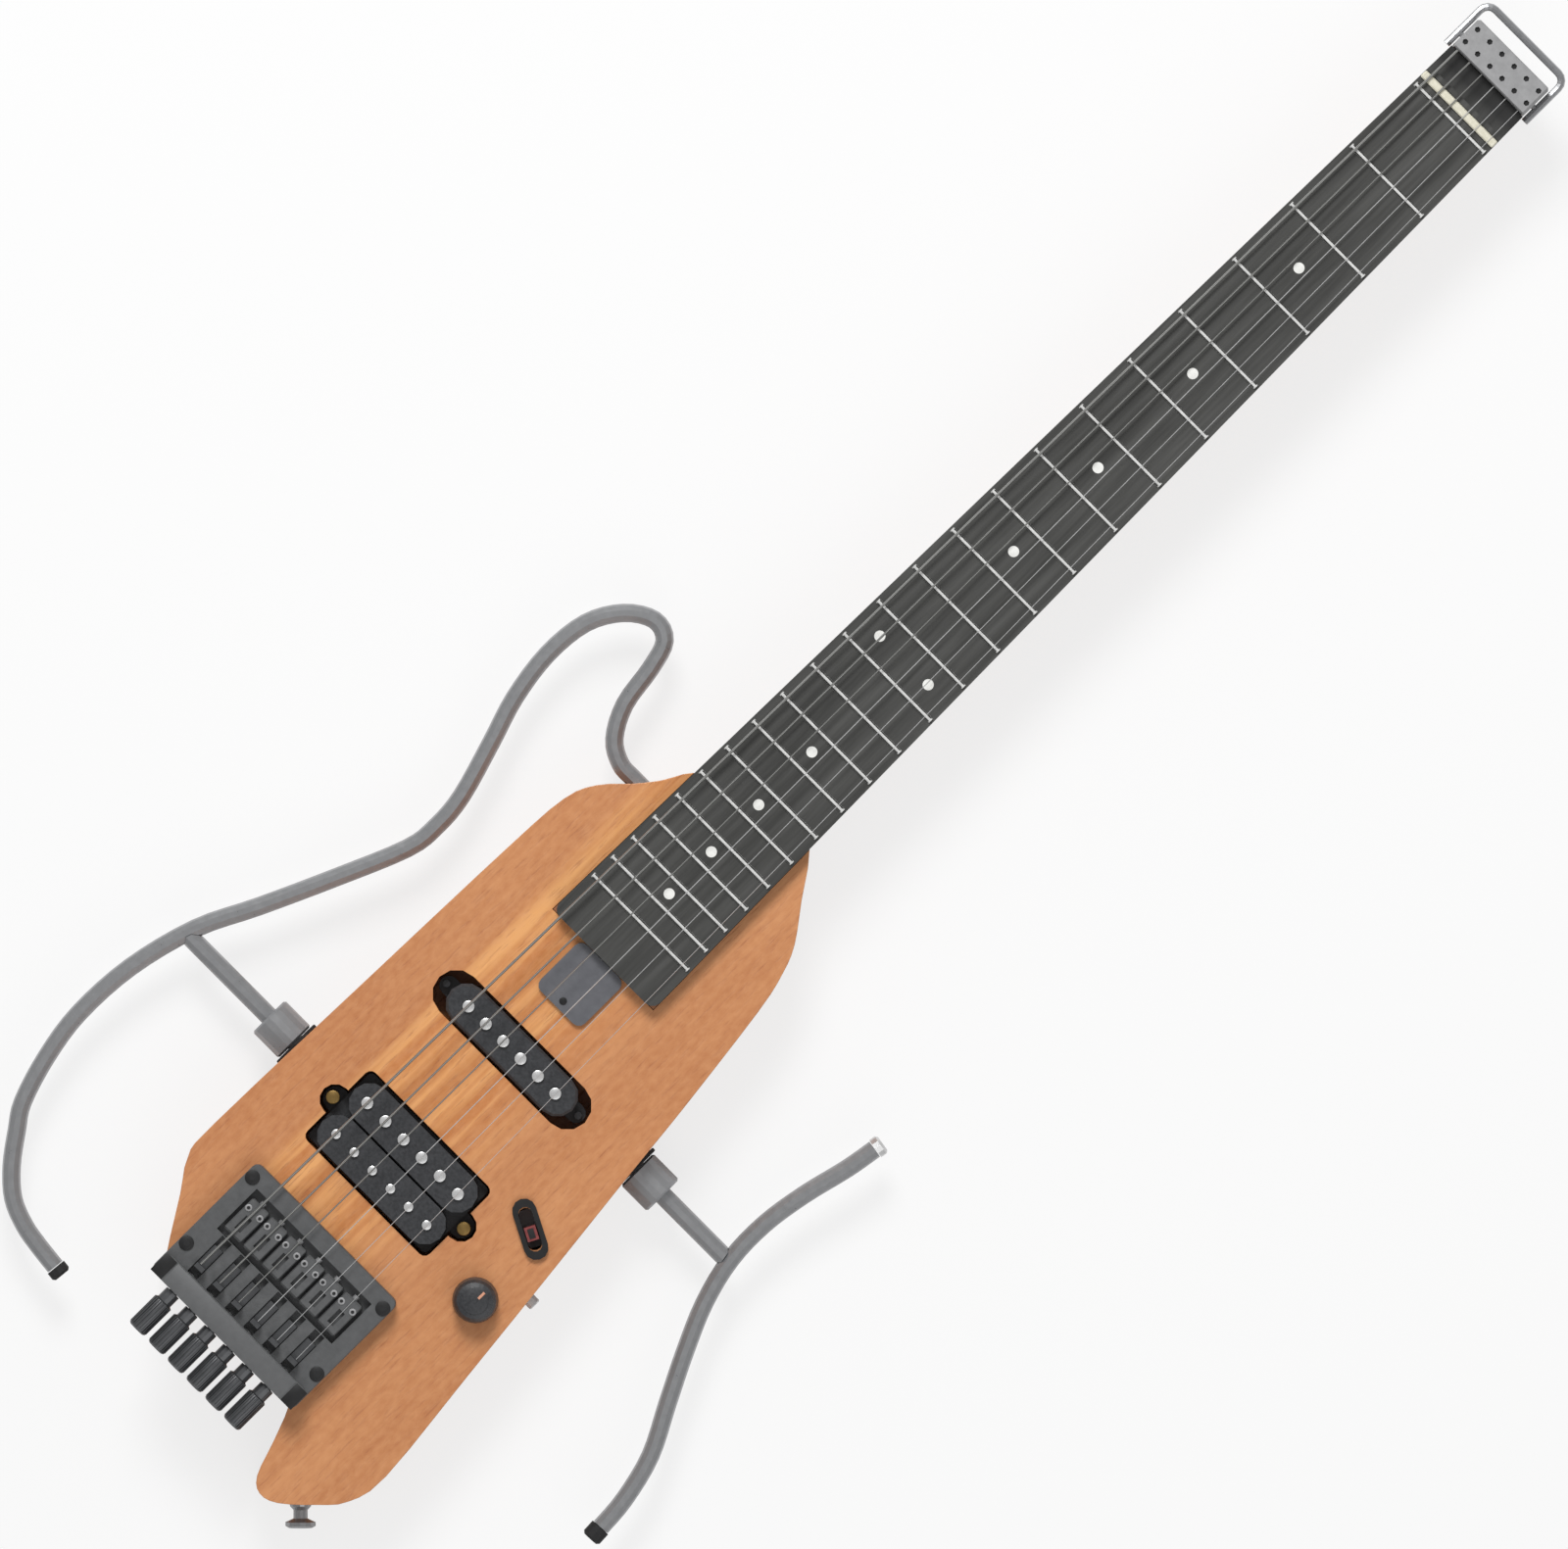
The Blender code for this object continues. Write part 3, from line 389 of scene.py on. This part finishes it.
def disc(radius, high, edge, sides):
    """A round button with a softened rim, standing on z 0."""
    work = bmesh.new()
    bmesh.ops.create_cone(work, cap_ends=True, segments=sides, radius1=radius, radius2=radius, depth=high)
    bmesh.ops.translate(work, verts=work.verts, vec=(0, 0, high / 2))
    rim = [e for e in work.edges if all(v.co.z > high * 0.9 for v in e.verts)]
    if edge:
        bmesh.ops.bevel(work, geom=rim, offset=edge, segments=2, affect="EDGES", profile=0.5)
    return finished(work)


def finished(work):
    """Turns the faces outwards and makes the mesh."""
    bmesh.ops.recalc_face_normals(work, faces=work.faces)
    mesh = bpy.data.meshes.new("shape")
    work.to_mesh(mesh)
    work.free()
    return mesh


def block(wide, long, high, edge=0.0):
    """A box on z 0 with softened edges."""
    work = bmesh.new()
    bmesh.ops.create_cube(work, size=1.0)
    bmesh.ops.scale(work, verts=work.verts, vec=(wide, long, high))
    bmesh.ops.translate(work, verts=work.verts, vec=(0, 0, high / 2))
    if edge:
        bmesh.ops.bevel(work, geom=work.edges[:], offset=edge, segments=2, affect="EDGES", profile=0.5)
    return finished(work)


def fret_crown():
    """One unit of half-round fret wire along X, on z 0."""
    work = bmesh.new()
    steps = 6
    angles = [math.pi * i / steps for i in range(steps + 1)]
    rings = [[work.verts.new((x, FRET_HALF * math.cos(angle), FRET_TALL * math.sin(angle))) for angle in angles]
             for x in (-0.5, 0.5)]
    for i in range(steps + 1):
        j = (i + 1) % (steps + 1)
        work.faces.new((rings[0][i], rings[0][j], rings[1][j], rings[1][i]))
    work.faces.new(rings[0])
    work.faces.new(rings[1][::-1])
    return finished(work)


UNTURNED = (0.0, 0.0, 0.0)
FULL = (1.0, 1.0, 1.0)


def fret_at(number):
    """How far a fret is from the bridge end of the scale."""
    return SCALE * 2 ** (-number / 12)


def board_half(y):
    """The fretboard's half width, which grows evenly from the nut."""
    return NUT_HALF + (END_HALF - NUT_HALF) * (SCALE - y) / (SCALE - BOARD_END)


def across(pitch):
    """The six strings' places across the guitar."""
    return [(i - (STRINGS - 1) / 2) * pitch for i in range(STRINGS)]


def frets_and_dots():
    """Bright wire over each of the board's frets, and pearl dots between them."""
    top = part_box("fretboard")[1].z - 1.1 * MM
    rows = []
    for number in range(FRETS + 1):
        y = fret_at(number)
        size = (2 * board_half(y) - FRET_SHORTER, FRET_FULLER, FRET_FULLER)
        rows.append(((0, y, top + 0.03 * MM), UNTURNED, size))
    repeated("fret_wires", fret_crown(), rows, "fret_steel")
    dots = [(0, number) for number in DOT_FRETS] + [(side * OCTAVE_DOT_X, OCTAVE_FRET) for side in (-1, 1)]
    rows = [((x, (fret_at(n) + fret_at(n - 1)) / 2, top), UNTURNED, FULL) for x, n in dots]
    repeated("position_dots", disc(2.3 * MM, 0.12 * MM, 0, 24), rows, "pearl")


def pickup_details():
    """Steel poles on both pickups, and the brass screws that set the bridge pickup's height."""
    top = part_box("bridge_pickup")[1].z
    rows = [((x, y, top), UNTURNED, (size, size, 1)) for y, size in HUMBUCKER_ROWS for x in across(HUMBUCKER_PITCH)]
    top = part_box("neck_pickup")[1].z
    rows += [((x, SINGLE_COIL_Y, top), UNTURNED, FULL) for x in across(SINGLE_COIL_PITCH)]
    repeated("pole_pieces", disc(2.5 * MM, 0.6 * MM, 0.3 * MM, 20), rows, "steel")
    rows = [((side * HEIGHT_SCREW_X, HEIGHT_SCREW_Y, HEIGHT_SCREW_Z), UNTURNED, FULL) for side in (-1, 1)]
    repeated("height_screws", disc(2.9 * MM, 1.2 * MM, 0.5 * MM, 20), rows, "brass")


def bridge_details():
    """The bridge's corner screws, the tail beam's dark ends and paler face, and each saddle's small screws."""
    beam_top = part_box("bridge_plate")[1].z - 0.2 * MM
    corners = [(side * CORNER_X, y) for side in (-1, 1) for y in CORNER_ROWS]
    rows = [((x, y, RAIL_TOP - 0.1 * MM), UNTURNED, FULL) for x, y in corners]
    repeated("bridge_screws", disc(3.1 * MM, 0.8 * MM, 0.3 * MM, 24), rows, "jet")
    # Painted shade: a thin black hexagon in the rubber finish on each corner screw stands in for the dark of its hex
    # socket.
    rows = [((x, y, RAIL_TOP + 0.66 * MM), UNTURNED, FULL) for x, y in corners]
    repeated("bridge_sockets", disc(1.4 * MM, 0.12 * MM, 0, 6), rows, "rubber")
    # Dark blocks laid over the tail beam's two ends.
    dark_ends = [((side * BEAM_END_X, BEAM_Y, beam_top), UNTURNED, FULL) for side in (-1, 1)]
    repeated("beam_ends", block(6 * MM, 9.6 * MM, 0.5 * MM, 0.2 * MM), dark_ends, "jet")
    face = block(68 * MM, 9.4 * MM, 0.35 * MM, 0.12 * MM)
    face.transform(Matrix.Translation((0, BEAM_Y, beam_top)))
    keep("beam_face", face, "beam_shade")
    screws, sockets, bolts = [], [], []
    for number in range(STRINGS, 0, -1):
        saddle_low, saddle_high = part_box(f"saddle_{number}")
        x = (saddle_low.x + saddle_high.x) / 2
        for side in (-1, 1):
            place = (x + side * 3.2 * MM, saddle_low.y + 12.8 * MM, saddle_high.z)
            screws.append((place, UNTURNED, FULL))
            # Painted shade: a thin black hexagon in the rubber finish on each saddle screw stands in for the dark of
            # its hex socket.
            sockets.append(((place[0], place[1], place[2] + 0.3 * MM), UNTURNED, FULL))
        bolts.append(((x, saddle_high.y + 1.6 * MM, saddle_low.z + 3 * MM), (math.pi / 2, 0, 0), FULL))
    repeated("saddle_screws", disc(1.5 * MM, 0.4 * MM, 0.1 * MM, 16), screws, "grey_metal")
    repeated("saddle_sockets", disc(0.8 * MM, 0.14 * MM, 0, 6), sockets, "rubber")
    repeated("saddle_bolts", disc(1.3 * MM, 3 * MM, 0.2 * MM, 12), bolts, "grey_metal")


def tuner_knurls():
    """Straight knurling round each tuner knob."""
    angles = [2 * math.pi * i / KNURL_RIDGES for i in range(KNURL_RIDGES)]
    for number in range(1, STRINGS + 1):
        low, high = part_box(f"tuner_knob_{number}")
        x, z = (low.x + high.x) / 2, (low.z + high.z) / 2
        middle = low.y + 8.2 * MM
        rows = [((x + KNURL_RADIUS * math.sin(angle), middle, z + KNURL_RADIUS * math.cos(angle)), (0, angle, 0), FULL)
                for angle in angles]
        ridge = block(0.62 * MM, 14.4 * MM, 0.32 * MM, 0.1 * MM)
        repeated(f"knurl_{number}", ridge, rows, "knob_black", f"tuner_{number}")


def control_details():
    """The volume knob's top and pointer, and the inset of the switch's thumb."""
    low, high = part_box("volume_knob")
    x, y = (low.x + high.x) / 2, (low.y + high.y) / 2
    top = disc(5.6 * MM, 0.5 * MM, 0.2 * MM, 40)
    top.transform(Matrix.Translation((x, y, high.z - 0.1 * MM)))
    keep("knob_top", top, "black_plastic", "volume")
    pointer = block(1.1 * MM, 3.6 * MM, 0.3 * MM, 0.1 * MM)
    pointer.transform(Matrix.Translation((x + 0.4 * MM, y + 3.4 * MM, high.z + 0.3 * MM)))
    keep("knob_pointer", pointer, "pointer", "volume")
    low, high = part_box("switch_thumb")
    centre = (low + high) / 2
    cap = block(4.1 * MM, 2.6 * MM, 0.4 * MM, 0.15 * MM)
    cap.transform(Matrix.Translation((centre.x, centre.y, high.z)) @ Matrix.Rotation(SWITCH_TURN, 4, "Z"))
    keep("thumb_inset", cap, "rubber", "switch")


def clamp_sockets():
    """Two rows of dark screws that hold the strings in the clamp block."""
    low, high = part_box("clamp_block")
    rows = [((x, low.y + row, high.z - 1.95 * MM), UNTURNED, FULL) for x in across(CLAMP_PITCH) for row in CLAMP_ROWS]
    repeated("clamp_screws", disc(1.2 * MM, 0.9 * MM, 0, 16), rows, "jet")


def cover_screws():
    """Four screws in the control cover on the back, and one in the neck-end cover."""
    rows = [((x, y, 0.35 * MM), (math.pi, 0, 0), FULL) for x in COVER_SCREWS_X for y in COVER_SCREWS_Y]
    repeated("cover_screws", disc(2.2 * MM, 0.3 * MM, 0.1 * MM, 20), rows, "steel")
    rows = [((*PLATE_SCREW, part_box("neck_end_cover")[1].z), UNTURNED, FULL)]
    repeated("plate_screw", disc(1.6 * MM, 0.3 * MM, 0.1 * MM, 20), rows, "jet")


def stage():
    """A pale floor that shows white to the camera and still takes the object's shadow."""
    bpy.ops.mesh.primitive_plane_add(size=12, location=(0, 0.3, -0.0005))
    floor = bpy.context.object
    floor.name = "floor"
    made = bpy.data.materials.new("floor")
    made.use_nodes = True
    tree = made.node_tree
    shader = tree.nodes["Principled BSDF"]
    shader.inputs["Base Color"].default_value = (FLOOR_TONE, FLOOR_TONE, FLOOR_TONE, 1)
    shader.inputs["Roughness"].default_value = 0.9
    glow = tree.nodes.new("ShaderNodeEmission")
    glow.inputs["Strength"].default_value = 1.0
    rays = tree.nodes.new("ShaderNodeLightPath")
    share = tree.nodes.new("ShaderNodeMath")
    share.operation = "MULTIPLY"
    share.inputs[1].default_value = FLOOR_GLOW
    mixer = tree.nodes.new("ShaderNodeMixShader")
    tree.links.new(rays.outputs["Is Camera Ray"], share.inputs[0])
    tree.links.new(share.outputs[0], mixer.inputs[0])
    tree.links.new(shader.outputs[0], mixer.inputs[1])
    tree.links.new(glow.outputs[0], mixer.inputs[2])
    tree.links.new(mixer.outputs[0], tree.nodes["Material Output"].inputs["Surface"])
    floor.data.materials.append(made)


def lamp(name, place, size, power):
    """A square soft light that points at the middle of the guitar."""
    light = bpy.data.lights.new(name, "AREA")
    light.size = size
    light.energy = power
    made = bpy.data.objects.new(name, light)
    made.location = place
    made.rotation_euler = (AIM - Vector(place)).to_track_quat("-Z", "Y").to_euler()
    bpy.context.scene.collection.objects.link(made)


def lights():
    """A key lamp, a weak fill lamp and an even white sky."""
    lamp("key", (-1.3, 1.2, 1.9), 0.9, 42)
    lamp("fill", (1.6, -0.6, 2.0), 2.0, 14)
    world = bpy.data.worlds.new("studio")
    bpy.context.scene.world = world
    world.use_nodes = True
    sky = world.node_tree.nodes["Background"]
    sky.inputs["Color"].default_value = (1, 1, 1, 1)
    sky.inputs["Strength"].default_value = SKY


def camera():
    """Straight above the face, with the neck rolled across the picture as in the photograph."""
    data = bpy.data.cameras.new("camera")
    data.sensor_width = SENSOR
    data.sensor_fit = "HORIZONTAL"
    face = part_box("body")[1].z
    data.lens = SENSOR * CAMERA_AWAY / PHOTO_WIDE
    data.clip_end = 100
    made = bpy.data.objects.new("camera", data)
    made.location = (*VIEW_CENTRE, face + CAMERA_AWAY)
    made.rotation_euler = (0, 0, NECK_ROLL)
    bpy.context.scene.collection.objects.link(made)
    bpy.context.scene.camera = made


camera()
stage()
lights()
dress_cad()
frets_and_dots()
pickup_details()
bridge_details()
tuner_knurls()
control_details()
clamp_sockets()
cover_screws()
bpy.context.scene.view_settings.view_transform = "Standard"
